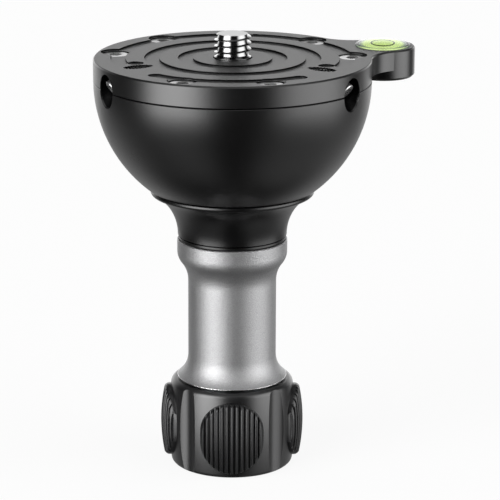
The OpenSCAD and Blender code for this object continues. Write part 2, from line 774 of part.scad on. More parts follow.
// Pad of ribbed rubber: a long round prism with a curved face, round ends and upright grooves
module grip_pad(angle) {
    face_x = pad_reach - pad_curve;
    color("#161616") rotate([0, 0, knob_turn + angle]) difference() {
        intersection() {
            pad_prism(0);
            translate([face_x, 0, knob_h / 2 - pad_drop]) rotate_extrude() {
                translate([0, -pad_h / 2]) square([pad_curve - pad_fillet, pad_h]);
                translate([0, pad_fillet - pad_h / 2]) square([pad_curve, pad_h - 2 * pad_fillet]);
                for (side = [-1, 1])
                    translate([pad_curve - pad_fillet, side * (pad_h / 2 - pad_fillet)])
                        circle(r = pad_fillet);
            }
        }
        for (k = [0 : pad_ribs])
            translate([face_x, 0, 0]) rotate([0, 0, (k - pad_ribs / 2) * rib_step])
                translate([pad_curve, 0, 0]) cylinder(r = rib_groove, h = knob_h);
    }
}

module grip_pad_1() { grip_pad(0); }
module grip_pad_2() { grip_pad(90); }
module grip_pad_3() { grip_pad(180); }
module grip_pad_4() { grip_pad(270); }

module knob_cap() {
    color("#242426") cylinder(r = cap_r, h = cap_t);
}

top_plate();
half_ball();
head_stud();
stud_clip();
plate_screws();
lock_screw_1();
lock_screw_2();
lock_screw_3();
lock_tip_1();
lock_tip_2();
lock_tip_3();
vial_cup();
vial_liquid();
vial_bubble();
vial_target_ring();
vial_lens();
draw_rod();
rod_nut();
rod_washer();
clamp_cup();
cup_ring();
slip_washer();
handle();
upper_bush();
lower_bush();
thrust_washer();
knob_body();
knob_nut();
grip_pad_1();
grip_pad_2();
grip_pad_3();
grip_pad_4();
knob_cap();
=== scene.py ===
import bpy
import math
from mathutils import Matrix, Vector


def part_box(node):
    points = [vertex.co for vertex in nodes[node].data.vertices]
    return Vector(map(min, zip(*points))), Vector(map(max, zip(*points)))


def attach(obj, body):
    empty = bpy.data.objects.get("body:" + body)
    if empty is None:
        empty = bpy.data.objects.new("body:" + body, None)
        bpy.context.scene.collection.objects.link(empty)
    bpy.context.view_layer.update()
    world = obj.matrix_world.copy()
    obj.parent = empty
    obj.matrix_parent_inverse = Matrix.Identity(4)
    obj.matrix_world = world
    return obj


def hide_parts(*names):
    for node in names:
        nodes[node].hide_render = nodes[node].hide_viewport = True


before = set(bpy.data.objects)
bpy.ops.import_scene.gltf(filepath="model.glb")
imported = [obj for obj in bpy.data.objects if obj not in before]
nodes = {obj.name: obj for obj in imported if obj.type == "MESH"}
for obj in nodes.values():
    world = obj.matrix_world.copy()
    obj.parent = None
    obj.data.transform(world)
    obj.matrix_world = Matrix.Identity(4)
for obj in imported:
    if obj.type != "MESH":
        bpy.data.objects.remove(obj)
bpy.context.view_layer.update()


# Half ball and top plate
# The ball that sits in the tripod's bowl and the round plate screwed on top of it, with the lug for the
# level. Both are turned from aluminium bar, bead blasted and black anodised.

def linear(hex_colour):
    """An sRGB hex value such as #202124 as the linear RGBA that a shader reads."""
    parts = [int(hex_colour[at:at + 2], 16) / 255 for at in (1, 3, 5)]
    return [part / 12.92 if part <= 0.04045 else ((part + 0.055) / 1.055) ** 2.4 for part in parts] + [1.0]


def add_node(tree, kind, settings, links):
    """Adds one node: each setting goes to an input of that name or number, or else to the node itself."""
    node = tree.nodes.new(kind)
    for name, value in settings.items():
        if isinstance(name, int) or name in node.inputs:
            node.inputs[name].default_value = value
        else:
            setattr(node, name, value)
    for name, source in links.items():
        tree.links.new(source, node.inputs[name])
    return node


def new_material(name):
    """An empty material, its node tree and the place of a point in the shared frame."""
    material = bpy.data.materials.new(name)
    material.use_nodes = True
    material.node_tree.nodes.clear()
    place = add_node(material.node_tree, "ShaderNodeTexCoord", {}, {}).outputs["Object"]
    return material, material.node_tree, place


def dress(material, *names):
    """Gives the CAD nodes of these names one material."""
    for name in names:
        nodes[name].data.materials.clear()
        nodes[name].data.materials.append(material)


# Heights and radii in metres. A hair is a hundredth of a millimetre, the unit of the soft steps below.
plate_top = 0.1095957
seam_height = 0.1038956
ball_radius = 0.036
face_radius = 0.0352
groove_floor = plate_top - 0.0005
coarse_depth = 0.0012
hair = 0.00001

# Black anodised aluminium, bead blasted: a deep black with soft, wide highlights and a fine grit. Real
# blasting leaves pits of about 0.1 mm, which is less than a pixel, so the grit is drawn at 0.2 mm.
black_anodised, tree, place = new_material("black_anodised_blasted_aluminium")
grit = add_node(tree, "ShaderNodeTexNoise", {"Scale": 1 / 0.0002, "Detail": 2.0}, {"Vector": place})
cloud = add_node(tree, "ShaderNodeTexNoise", {"Scale": 1 / 0.012, "Detail": 3.0}, {"Vector": place})
tone = add_node(tree, "ShaderNodeMix",
                {"data_type": "RGBA", 6: linear("#030303"), 7: linear("#080809")},
                {0: cloud.outputs["Fac"]})
sheen = add_node(tree, "ShaderNodeMapRange", {"To Min": 0.26, "To Max": 0.31},
                 {"Value": cloud.outputs["Fac"]})
height = add_node(tree, "ShaderNodeSeparateXYZ", {}, {0: place}).outputs["Z"]
flat_place = add_node(tree, "ShaderNodeVectorMath", {"operation": "MULTIPLY", 1: (1, 1, 0)}, {0: place})
radius = add_node(tree, "ShaderNodeVectorMath", {"operation": "LENGTH"},
                  {0: flat_place.outputs[0]}).outputs["Value"]

# The plate's top face with its grooves, which has to grip the head, is blasted coarser.
coarse_reach = add_node(tree, "ShaderNodeMapRange",
                        {"From Min": face_radius, "From Max": face_radius + 10 * hair,
                         "To Min": coarse_depth, "To Max": 0.0}, {"Value": radius})
lifted = add_node(tree, "ShaderNodeMath", {"operation": "ADD"}, {0: height, 1: coarse_reach.outputs[0]})
coarse = add_node(tree, "ShaderNodeMapRange",
                  {"From Min": plate_top - 20 * hair, "From Max": plate_top - 5 * hair},
                  {"Value": lifted.outputs[0]})
sheen = add_node(tree, "ShaderNodeMix", {"data_type": "FLOAT", 3: 0.47},
                 {0: coarse.outputs[0], 2: sheen.outputs[0]})

# The grooves' walls, between their floors and the plate's top, are dulled as painted shade.
above_floor = add_node(tree, "ShaderNodeMapRange",
                       {"From Min": groove_floor + hair, "From Max": groove_floor + 4 * hair},
                       {"Value": height})
above_wall = add_node(tree, "ShaderNodeMapRange",
                      {"From Min": plate_top - 4 * hair, "From Max": plate_top - hair},
                      {"Value": height})
wall = add_node(tree, "ShaderNodeMath", {"operation": "MULTIPLY"},
                {0: coarse.outputs[0], 1: above_floor.outputs[0]})
wall = add_node(tree, "ShaderNodeMath", {"operation": "SUBTRACT"},
                {0: wall.outputs[0], 1: above_wall.outputs[0]})

# The insides of the holes, which lie under the grooves and behind the round outside, get the same painted
# shade.
from_seam = add_node(tree, "ShaderNodeMath", {"operation": "SUBTRACT", 1: seam_height}, {0: height})
below_seam = add_node(tree, "ShaderNodeMath", {"operation": "MINIMUM", 1: 0.0}, {0: from_seam.outputs[0]})
inward = add_node(tree, "ShaderNodeCombineXYZ", {}, {0: radius, 1: below_seam.outputs[0]})
inward = add_node(tree, "ShaderNodeVectorMath", {"operation": "LENGTH"}, {0: inward.outputs[0]})
behind_face = add_node(tree, "ShaderNodeMapRange",
                       {"From Min": ball_radius - 30 * hair, "From Max": ball_radius - 50 * hair},
                       {"Value": inward.outputs["Value"]})
under_grooves = add_node(tree, "ShaderNodeMapRange",
                         {"From Min": groove_floor - 5 * hair, "From Max": groove_floor - 10 * hair},
                         {"Value": height})
in_hole = add_node(tree, "ShaderNodeMath", {"operation": "MULTIPLY"},
                   {0: behind_face.outputs[0], 1: under_grooves.outputs[0]})

# The seam between plate and ball gets the painted shade too, but not the lug's side at the same height.
off_seam = add_node(tree, "ShaderNodeMath", {"operation": "ABSOLUTE"}, {0: from_seam.outputs[0]})
seam = add_node(tree, "ShaderNodeMapRange", {"From Min": 16 * hair, "From Max": 12 * hair},
                {"Value": off_seam.outputs[0]})
off_lug = add_node(tree, "ShaderNodeMapRange",
                   {"From Min": ball_radius + 30 * hair, "From Max": ball_radius + 10 * hair},
                   {"Value": radius})
seam = add_node(tree, "ShaderNodeMath", {"operation": "MULTIPLY"},
                {0: seam.outputs[0], 1: off_lug.outputs[0]})
dull_painted_shade = add_node(tree, "ShaderNodeMath", {"operation": "MAXIMUM"},
                {0: wall.outputs[0], 1: in_hole.outputs[0]})
dull_painted_shade = add_node(tree, "ShaderNodeMath", {"operation": "MAXIMUM"},
                {0: dull_painted_shade.outputs[0], 1: seam.outputs[0]})
# Painted shade: the specular level falls almost to nothing on the grooves' walls, in the holes and in the
# seam.
gloss = add_node(tree, "ShaderNodeMapRange", {"To Min": 0.45, "To Max": 0.9}, {"Value": coarse.outputs[0]})
gloss = add_node(tree, "ShaderNodeMix", {"data_type": "FLOAT", 3: 0.05},
                 {0: dull_painted_shade.outputs[0], 2: gloss.outputs[0]})
pits = add_node(tree, "ShaderNodeBump", {"Strength": 0.6, "Distance": 0.00003},
                {"Height": grit.outputs["Fac"]})
shader = add_node(tree, "ShaderNodeBsdfPrincipled", {"IOR": 1.77},
                  {"Base Color": tone.outputs[2], "Roughness": sheen.outputs[0],
                   "Specular IOR Level": gloss.outputs[0], "Normal": pits.outputs[0]})
add_node(tree, "ShaderNodeOutputMaterial", {}, {"Surface": shader.outputs[0]})
dress(black_anodised, "half_ball", "top_plate")


# Head stud
# The 3/8 inch stud that a video head screws on to, with sixteen threads to the inch. Its shoulder and
# flange are held under the plate by a spring ring. Turned from steel, the thread rolled, and bright plated.

def choose(first, *others):
    """Selects these pieces alone and makes the first one active."""
    bpy.ops.object.select_all(action="DESELECT")
    for piece in (first,) + others:
        piece.select_set(True)
    bpy.context.view_layer.objects.active = first


def draw_outline(name, points):
    """A chain of edges through these points, drawn from one vertex by extruding it along each step."""
    bpy.ops.object.select_all(action="DESELECT")
    bpy.ops.mesh.primitive_plane_add(size=0.001)
    piece = bpy.context.object
    piece.name = name
    bpy.ops.object.mode_set(mode="EDIT")
    bpy.ops.mesh.merge(type="CENTER")
    bpy.ops.transform.translate(value=points[0])
    for start, end in zip(points, points[1:]):
        step = [b - a for a, b in zip(start, end)]
        bpy.ops.mesh.extrude_vertices_move(TRANSFORM_OT_translate={"value": step})
    bpy.ops.object.mode_set(mode="OBJECT")
    return piece


def turn_outline(name, points, sides):
    """A closed turned piece from an outline that starts and ends on the upright axis."""
    piece = draw_outline(name, [(r, 0, z) for r, z in points])
    bpy.ops.object.mode_set(mode="EDIT")
    bpy.ops.mesh.select_all(action="SELECT")
    bpy.ops.mesh.spin(steps=sides, angle=2 * math.pi, center=(0, 0, 0), axis=(0, 0, 1))
    bpy.ops.mesh.select_all(action="SELECT")
    bpy.ops.mesh.remove_doubles(threshold=0.000002)
    bpy.ops.mesh.normals_make_consistent(inside=False)
    bpy.ops.object.mode_set(mode="OBJECT")
    return piece


def trim(piece, tool):
    """Trims a piece to what lies inside a tool piece, which is then removed."""
    choose(piece)
    change = piece.modifiers.new("trim", "BOOLEAN")
    change.operation = "INTERSECT"
    change.object = tool
    change.solver = "EXACT"
    bpy.ops.object.modifier_apply(modifier="trim")
    bpy.data.objects.remove(tool)


def smooth(piece, degrees):
    """Shades a piece smooth, with edges sharper than this angle kept."""
    choose(piece)
    bpy.ops.object.shade_smooth_by_angle(angle=math.radians(degrees))


stud_crest = 0.0047625
stud_root = 0.0037
root_lean = 0.00016
thread_pitch = 0.0015875
thread_turns = 7
spare_turns = 1.5
end_spare = 0.0004
thread_foot = plate_top + 0.0008
stud_top = plate_top + 0.0063
stud_sides = 72

# One pitch of the thread, from root to root, wound up the axis by the Screw modifier and closed at both
# ends. The cuts keep a small threshold, because the default one is as large as the thread's facets.
first_root = thread_foot - spare_turns * thread_pitch
one_pitch = ((stud_root + root_lean, 0.0), (stud_root, 0.33), (stud_crest, 0.46), (stud_crest, 0.53),
             (stud_root + 2 * root_lean, 0.66), (stud_root + root_lean, 1.0))
stud = draw_outline("head_stud_thread",
                    [(r, 0, first_root + part * thread_pitch) for r, part in one_pitch])
winding = stud.modifiers.new("winding", "SCREW")
winding.screw_offset = thread_pitch
winding.iterations = thread_turns
winding.steps = stud_sides
winding.render_steps = stud_sides
bpy.ops.object.modifier_apply(modifier="winding")
bpy.ops.object.mode_set(mode="EDIT")
bpy.ops.mesh.select_all(action="SELECT")
bpy.ops.mesh.remove_doubles(threshold=0.000005)
for cut_height, is_low in ((thread_foot - end_spare, True), (stud_top + end_spare, False)):
    bpy.ops.mesh.select_all(action="SELECT")
    bpy.ops.mesh.bisect(plane_co=(0, 0, cut_height), plane_no=(0, 0, 1), use_fill=True,
                        threshold=0.0000001, clear_inner=is_low, clear_outer=not is_low)
bpy.ops.mesh.select_all(action="SELECT")
bpy.ops.mesh.normals_make_consistent(inside=False)
bpy.ops.object.mode_set(mode="OBJECT")

# The turned blank trims the thread to its length, with a chamfer at the top and a small one at the foot.
blank_over = 0.0002
foot_chamfer = 0.0006
tip_chamfer = 0.001
tip_radius = stud_crest - 0.0008
blank = turn_outline("stud_blank", [
    (0, thread_foot), (stud_root + blank_over, thread_foot),
    (stud_crest + blank_over, thread_foot + foot_chamfer),
    (stud_crest + blank_over, stud_top - tip_chamfer), (tip_radius, stud_top), (0, stud_top)], stud_sides)
trim(stud, blank)

# Flange, shoulder and neck under the thread.
flange_radius = 0.0075
flange_low = plate_top - 0.0039
flange_top = flange_low + 0.002
shoulder_radius = 0.006
shoulder_top = plate_top - 0.0012
shoulder_chamfer = 0.0002
neck_top = plate_top + 0.0003
foot_top = thread_foot + 0.0001
foot = turn_outline("stud_foot", [
    (0, flange_low), (flange_radius, flange_low), (flange_radius, flange_top),
    (shoulder_radius, flange_top), (shoulder_radius, shoulder_top - shoulder_chamfer),
    (shoulder_radius - shoulder_chamfer, shoulder_top), (stud_crest, shoulder_top),
    (stud_crest, neck_top), (stud_root, foot_top), (0, foot_top)], stud_sides)
choose(stud, foot)
bpy.ops.object.join()
smooth(stud, degrees=25)

# Bright plated steel, turned: a clear grey metal with fine lines round its axis. The end face is faced off
# dull. Turning leaves lines of 0.05 mm, too fine to show, so they are drawn at 0.25 mm.
line_height = 0.00025
line_length = 1 / 60
bright_steel, tree, place = new_material("bright_plated_turned_steel")
squeezed = add_node(tree, "ShaderNodeMapping",
                    {"Scale": (1 / line_length, 1 / line_length, 1 / line_height)}, {"Vector": place})
lines = add_node(tree, "ShaderNodeTexNoise", {"Scale": 1.0, "Detail": 2.0},
                 {"Vector": squeezed.outputs[0]})
tone = add_node(tree, "ShaderNodeMix",
                {"data_type": "RGBA", 6: linear("#8a8a8a"), 7: linear("#989898")},
                {0: lines.outputs["Fac"]})
sheen = add_node(tree, "ShaderNodeMapRange", {"To Min": 0.08, "To Max": 0.16},
                 {"Value": lines.outputs["Fac"]})
height = add_node(tree, "ShaderNodeSeparateXYZ", {}, {0: place}).outputs["Z"]
end_face = add_node(tree, "ShaderNodeMapRange",
                    {"From Min": stud_top - 6 * hair, "From Max": stud_top - 2 * hair}, {"Value": height})
sheen = add_node(tree, "ShaderNodeMix", {"data_type": "FLOAT", 3: 0.3},
                 {0: end_face.outputs[0], 2: sheen.outputs[0]})
shader = add_node(tree, "ShaderNodeBsdfPrincipled", {"Metallic": 1.0},
                  {"Base Color": tone.outputs[2], "Roughness": sheen.outputs[0]})
add_node(tree, "ShaderNodeOutputMaterial", {}, {"Surface": shader.outputs[0]})
stud.data.materials.append(bright_steel)
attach(stud, "ball")
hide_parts("head_stud")


# Plate screws, lock screws and retaining ring
# Six socket screws hold the plate on the ball, three inclined grub screws keep the head from turning, and a
# spring ring holds the stud. Cold headed and turned steel, bright plated.

# Bright plated steel, cold headed: a pale grey metal, satin, with a faint cloud of 1 mm.
headed_steel, tree, place = new_material("bright_plated_headed_steel")
cloud = add_node(tree, "ShaderNodeTexNoise", {"Scale": 1 / 0.001, "Detail": 2.0}, {"Vector": place})
tone = add_node(tree, "ShaderNodeMix",
                {"data_type": "RGBA", 6: linear("#b4b4b4"), 7: linear("#c8c8c8")},
                {0: cloud.outputs["Fac"]})
sheen = add_node(tree, "ShaderNodeMapRange", {"To Min": 0.3, "To Max": 0.4},
                 {"Value": cloud.outputs["Fac"]})
shader = add_node(tree, "ShaderNodeBsdfPrincipled", {"Metallic": 1.0},
                  {"Base Color": tone.outputs[2], "Roughness": sheen.outputs[0]})
add_node(tree, "ShaderNodeOutputMaterial", {}, {"Surface": shader.outputs[0]})
dress(headed_steel, "stud_clip", "plate_screws", "lock_screw_1", "lock_screw_2", "lock_screw_3")


# Lock tips and bushes
# The soft tips of the lock screws, which spare the underside of the head, and the bushes that guide the
# draw rod in the handle. Turned from nylon bar and pressed in.

# Natural nylon: a pale, slightly yellow plastic with a waxy shine and a faint cloud of 2 mm.
nylon, tree, place = new_material("turned_natural_nylon")
cloud = add_node(tree, "ShaderNodeTexNoise", {"Scale": 1 / 0.002, "Detail": 2.0}, {"Vector": place})
tone = add_node(tree, "ShaderNodeMix",
                {"data_type": "RGBA", 6: linear("#d9d4c4"), 7: linear("#e6e2d6")},
                {0: cloud.outputs["Fac"]})
sheen = add_node(tree, "ShaderNodeMapRange", {"To Min": 0.36, "To Max": 0.46},
                 {"Value": cloud.outputs["Fac"]})
shader = add_node(tree, "ShaderNodeBsdfPrincipled", {"IOR": 1.53},
                  {"Base Color": tone.outputs[2], "Roughness": sheen.outputs[0]})
add_node(tree, "ShaderNodeOutputMaterial", {}, {"Surface": shader.outputs[0]})
dress(nylon, "upper_bush", "lower_bush", "lock_tip_1", "lock_tip_2", "lock_tip_3")


# Bubble level
# A round level pressed into the lug: a clear moulded cup full of dyed spirit, an air bubble in it, a
# printed ring that the bubble is read against, and a clear domed lens on top.

# Dyed spirit: a bright yellow green. Its glow is painted light, and its greyer rim towards the cup's wall
# is a painted reflection of the lens's edge.
spirit_low, spirit_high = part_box("vial_liquid")
to_the_middle = [-(low + high) / 2 for low, high in zip(spirit_low, spirit_high)]
spirit_radius = (spirit_high[0] - spirit_low[0]) / 2
level_spirit, tree, place = new_material("dyed_level_spirit")
cloud = add_node(tree, "ShaderNodeTexNoise", {"Scale": 1 / 0.004, "Detail": 1.0}, {"Vector": place})
tone = add_node(tree, "ShaderNodeMix",
                {"data_type": "RGBA", 6: linear("#d8e3b0"), 7: linear("#e3eec2")},
                {0: cloud.outputs["Fac"]})
centred = add_node(tree, "ShaderNodeMapping", {"Location": to_the_middle}, {"Vector": place})
centred = add_node(tree, "ShaderNodeVectorMath", {"operation": "MULTIPLY", 1: (1, 1, 0)},
                   {0: centred.outputs[0]})
from_middle = add_node(tree, "ShaderNodeVectorMath", {"operation": "LENGTH"}, {0: centred.outputs[0]})
painted_reflection_rim = add_node(tree, "ShaderNodeMapRange",
               {"From Min": 0.8 * spirit_radius, "From Max": 0.95 * spirit_radius},
               {"Value": from_middle.outputs["Value"]})
# Painted reflection: towards the cup's wall the spirit turns grey, for the reflection in the lens's edge.
tone = add_node(tree, "ShaderNodeMix", {"data_type": "RGBA", 7: linear("#96a596")},
                {0: painted_reflection_rim.outputs[0], 6: tone.outputs[2]})
# Painted light: the spirit glows with its own colour.
shader = add_node(tree, "ShaderNodeBsdfPrincipled",
                  {"IOR": 1.36, "Roughness": 0.12, "Emission Strength": 0.36},
                  {"Base Color": tone.outputs[2], "Emission Color": tone.outputs[2]})
add_node(tree, "ShaderNodeOutputMaterial", {}, {"Surface": shader.outputs[0]})
dress(level_spirit, "vial_liquid")

# Air bubble: a painted glint, the bubble's pale skin in the spirit made to glow a little, with a faint
# cloud of 2 mm.
painted_bubble_glint, tree, place = new_material("air_bubble_in_spirit")
cloud = add_node(tree, "ShaderNodeTexNoise", {"Scale": 1 / 0.002, "Detail": 1.0}, {"Vector": place})
tone = add_node(tree, "ShaderNodeMix",
                {"data_type": "RGBA", 6: linear("#d5e1a8"), 7: linear("#e0ecba")},
                {0: cloud.outputs["Fac"]})
# Painted light: the bubble's skin glows as a glint.
shader = add_node(tree, "ShaderNodeBsdfPrincipled",
                  {"IOR": 1.36, "Roughness": 0.08, "Emission Strength": 0.35},
                  {"Base Color": tone.outputs[2], "Emission Color": tone.outputs[2]})
add_node(tree, "ShaderNodeOutputMaterial", {}, {"Surface": shader.outputs[0]})
dress(painted_bubble_glint, "vial_bubble")

# Clear acrylic, moulded and polished: clear, with a faint haze of 3 mm in its gloss. Its refractive index
# is set below acrylic's 1.49, so that the bright wall in the lens doesn't hide the spirit.
clear_acrylic, tree, place = new_material("polished_clear_acrylic")
haze = add_node(tree, "ShaderNodeTexNoise", {"Scale": 1 / 0.003, "Detail": 2.0}, {"Vector": place})
sheen = add_node(tree, "ShaderNodeMapRange", {"To Min": 0.01, "To Max": 0.05},
                 {"Value": haze.outputs["Fac"]})
shader = add_node(tree, "ShaderNodeBsdfPrincipled",
                  {"Base Color": linear("#f8fbf6"), "IOR": 1.15, "Transmission Weight": 1.0},
                  {"Roughness": sheen.outputs[0]})
add_node(tree, "ShaderNodeOutputMaterial", {}, {"Surface": shader.outputs[0]})
dress(clear_acrylic, "vial_lens", "vial_cup")

# Black printing ink: a flat black with a fine mottle of 0.5 mm.
black_ink, tree, place = new_material("screen_printed_black_ink")
cloud = add_node(tree, "ShaderNodeTexNoise", {"Scale": 1 / 0.0005, "Detail": 2.0}, {"Vector": place})
tone = add_node(tree, "ShaderNodeMix",
                {"data_type": "RGBA", 6: linear("#0a0c08"), 7: linear("#14160f")},
                {0: cloud.outputs["Fac"]})
shader = add_node(tree, "ShaderNodeBsdfPrincipled", {"Roughness": 0.5}, {"Base Color": tone.outputs[2]})
add_node(tree, "ShaderNodeOutputMaterial", {}, {"Surface": shader.outputs[0]})
dress(black_ink, "vial_target_ring")


# Draw rod with its nut and washers
# The rod that hangs from the ball's floor, held there by a nut and a washer, and takes the knob's nut at
# its lower end. A second washer lies between knob and handle. Cut from steel bar and zinc plated.

# Zinc plated steel: a slightly blue grey with soft clouds of 3 mm.
zinc_steel, tree, place = new_material("zinc_plated_steel")
cloud = add_node(tree, "ShaderNodeTexNoise", {"Scale": 1 / 0.003, "Detail": 3.0}, {"Vector": place})
tone = add_node(tree, "ShaderNodeMix",
                {"data_type": "RGBA", 6: linear("#9da1a6"), 7: linear("#b7babd")},
                {0: cloud.outputs["Fac"]})
sheen = add_node(tree, "ShaderNodeMapRange", {"To Min": 0.28, "To Max": 0.4},
                 {"Value": cloud.outputs["Fac"]})
shader = add_node(tree, "ShaderNodeBsdfPrincipled", {"Metallic": 1.0},
                  {"Base Color": tone.outputs[2], "Roughness": sheen.outputs[0]})
add_node(tree, "ShaderNodeOutputMaterial", {}, {"Surface": shader.outputs[0]})
dress(zinc_steel, "draw_rod", "rod_nut", "rod_washer", "thrust_washer")


# Clamp cup with its ring and slip washer
# The flared cup that closes on the bowl from below, the round edged ring on its rim and the thin washer
# under it. All three are turned aluminium, blasted finer than the ball and black anodised.

# Black anodised aluminium, fine blasted: as black as the ball, with weaker highlights and shallower grit,
# which is drawn at 0.2 mm too.
matt_anodised, tree, place = new_material("black_anodised_fine_blasted_aluminium")
grit = add_node(tree, "ShaderNodeTexNoise", {"Scale": 1 / 0.0002, "Detail": 2.0}, {"Vector": place})
cloud = add_node(tree, "ShaderNodeTexNoise", {"Scale": 1 / 0.012, "Detail": 3.0}, {"Vector": place})
tone = add_node(tree, "ShaderNodeMix",
                {"data_type": "RGBA", 6: linear("#030303"), 7: linear("#070708")},
                {0: cloud.outputs["Fac"]})
sheen = add_node(tree, "ShaderNodeMapRange", {"To Min": 0.26, "To Max": 0.31},
                 {"Value": cloud.outputs["Fac"]})
pits = add_node(tree, "ShaderNodeBump", {"Strength": 0.4, "Distance": 0.00003},
                {"Height": grit.outputs["Fac"]})
shader = add_node(tree, "ShaderNodeBsdfPrincipled", {"IOR": 1.77, "Specular IOR Level": 0.3},
                  {"Base Color": tone.outputs[2], "Roughness": sheen.outputs[0],
                   "Normal": pits.outputs[0]})
add_node(tree, "ShaderNodeOutputMaterial", {}, {"Surface": shader.outputs[0]})
dress(matt_anodised, "clamp_cup", "cup_ring", "slip_washer")


# Handle
# The waisted grip between cup and knob, turned from aluminium, bead blasted and anodised a plain grey. The
# edge at its foot was cut after the blasting and shows bright.

foot_edge = 0.0241

# Grey anodised aluminium, bead blasted: a grey metal with broad soft bands of light and a fine sparkle.
# The grit is drawn at 0.25 mm, because the real one is less than a pixel.
grey_anodised, tree, place = new_material("grey_anodised_blasted_aluminium")
grit = add_node(tree, "ShaderNodeTexNoise", {"Scale": 1 / 0.00025, "Detail": 2.0}, {"Vector": place})
cloud = add_node(tree, "ShaderNodeTexNoise", {"Scale": 1 / 0.012, "Detail": 3.0}, {"Vector": place})
height = add_node(tree, "ShaderNodeSeparateXYZ", {}, {0: place}).outputs["Z"]
bright_edge = add_node(tree, "ShaderNodeMapRange",
                       {"From Min": foot_edge, "From Max": foot_edge - 8 * hair}, {"Value": height})
tone = add_node(tree, "ShaderNodeMix",
                {"data_type": "RGBA", 6: linear("#868687"), 7: linear("#b6b6b7")},
                {0: grit.outputs["Fac"]})
tone = add_node(tree, "ShaderNodeMix", {"data_type": "RGBA", 7: linear("#dcdcdc")},
                {0: bright_edge.outputs[0], 6: tone.outputs[2]})
sheen = add_node(tree, "ShaderNodeMapRange", {"To Min": 0.47, "To Max": 0.53},
                 {"Value": cloud.outputs["Fac"]})
sheen = add_node(tree, "ShaderNodeMix", {"data_type": "FLOAT", 3: 0.24},
                 {0: bright_edge.outputs[0], 2: sheen.outputs[0]})
pits = add_node(tree, "ShaderNodeBump", {"Strength": 1.0, "Distance": 0.00008},
                {"Height": grit.outputs["Fac"]})
shader = add_node(tree, "ShaderNodeBsdfPrincipled", {"Metallic": 1.0},
                  {"Base Color": tone.outputs[2], "Roughness": sheen.outputs[0],
                   "Normal": pits.outputs[0]})
add_node(tree, "ShaderNodeOutputMaterial", {}, {"Surface": shader.outputs[0]})
dress(grey_anodised, "handle")


# Knob
# The clamp knob: a fluted body moulded from black acetal, a brass hex nut pressed into it that runs on the
# draw rod, and a cap of the same acetal over the nut from below.

# Black acetal, moulded: a dark satin plastic with a faint cloud of 6 mm and a skin grain of 0.4 mm.
black_acetal, tree, place = new_material("moulded_black_acetal")
cloud = add_node(tree, "ShaderNodeTexNoise", {"Scale": 1 / 0.006, "Detail": 3.0}, {"Vector": place})
grain = add_node(tree, "ShaderNodeTexNoise", {"Scale": 1 / 0.0004, "Detail": 2.0}, {"Vector": place})
tone = add_node(tree, "ShaderNodeMix",
                {"data_type": "RGBA", 6: linear("#0b0b0c"), 7: linear("#121213")},
                {0: cloud.outputs["Fac"]})
sheen = add_node(tree, "ShaderNodeMapRange", {"To Min": 0.27, "To Max": 0.33},
                 {"Value": cloud.outputs["Fac"]})
pits = add_node(tree, "ShaderNodeBump", {"Strength": 0.3, "Distance": 0.00003},
                {"Height": grain.outputs["Fac"]})
shader = add_node(tree, "ShaderNodeBsdfPrincipled", {"IOR": 1.7},
                  {"Base Color": tone.outputs[2], "Roughness": sheen.outputs[0],
                   "Normal": pits.outputs[0]})
add_node(tree, "ShaderNodeOutputMaterial", {}, {"Surface": shader.outputs[0]})
dress(black_acetal, "knob_body", "knob_cap")

# Brass, turned: a warm yellow metal with a fine mottle of 0.6 mm.
brass, tree, place = new_material("turned_brass")
mottle = add_node(tree, "ShaderNodeTexNoise", {"Scale": 1 / 0.0006, "Detail": 2.0}, {"Vector": place})
tone = add_node(tree, "ShaderNodeMix",
                {"data_type": "RGBA", 6: linear("#b48f45"), 7: linear("#c8a75e")},
                {0: mottle.outputs["Fac"]})
sheen = add_node(tree, "ShaderNodeMapRange", {"To Min": 0.22, "To Max": 0.34},
                 {"Value": mottle.outputs["Fac"]})
shader = add_node(tree, "ShaderNodeBsdfPrincipled", {"Metallic": 1.0},
                  {"Base Color": tone.outputs[2], "Roughness": sheen.outputs[0]})
add_node(tree, "ShaderNodeOutputMaterial", {}, {"Surface": shader.outputs[0]})
dress(brass, "knob_nut")


# Grip pads
# Four ribbed pads bonded into pockets in the knob's sides, moulded from black rubber. Each is a long round
# slab with a curved face, upright ribs across the whole face and a round rim over the ribs' ends.

def pick(piece, test):
    """Goes into edit mode with the vertices selected whose place passes the test."""
    choose(piece)
    bpy.ops.object.mode_set(mode="EDIT")
    bpy.ops.mesh.select_mode(type="VERT")
    bpy.ops.mesh.select_all(action="DESELECT")
    bpy.ops.object.mode_set(mode="OBJECT")
    for vertex in piece.data.vertices:
        vertex.select = test(vertex.co)
    bpy.ops.object.mode_set(mode="EDIT")


pad_width = 0.0166
pad_height = 0.0194
pad_middle = 0.01135
pad_sides = 96
pocket_floor = 0.0134
pad_reach = 0.0189
face_curve = 0.014
face_axis = pad_reach - face_curve
face_bulge = 0.045
rib_count = 13
rib_turn = math.radians(5.6)
rib_share = 0.37
rib_depth = 0.0008
rib_shape = (-1.0, -0.93, -0.77, -0.45, 0.0, 0.45, 0.77, 0.93, 1.0)
rim_round = 0.0011
rim_over = 0.00003
rim_steps = 6


def fall_back(height):
    """How far the bulged face of a pad lies behind its middle at this height."""
    return face_bulge - math.sqrt(face_bulge ** 2 - (height - pad_middle) ** 2)


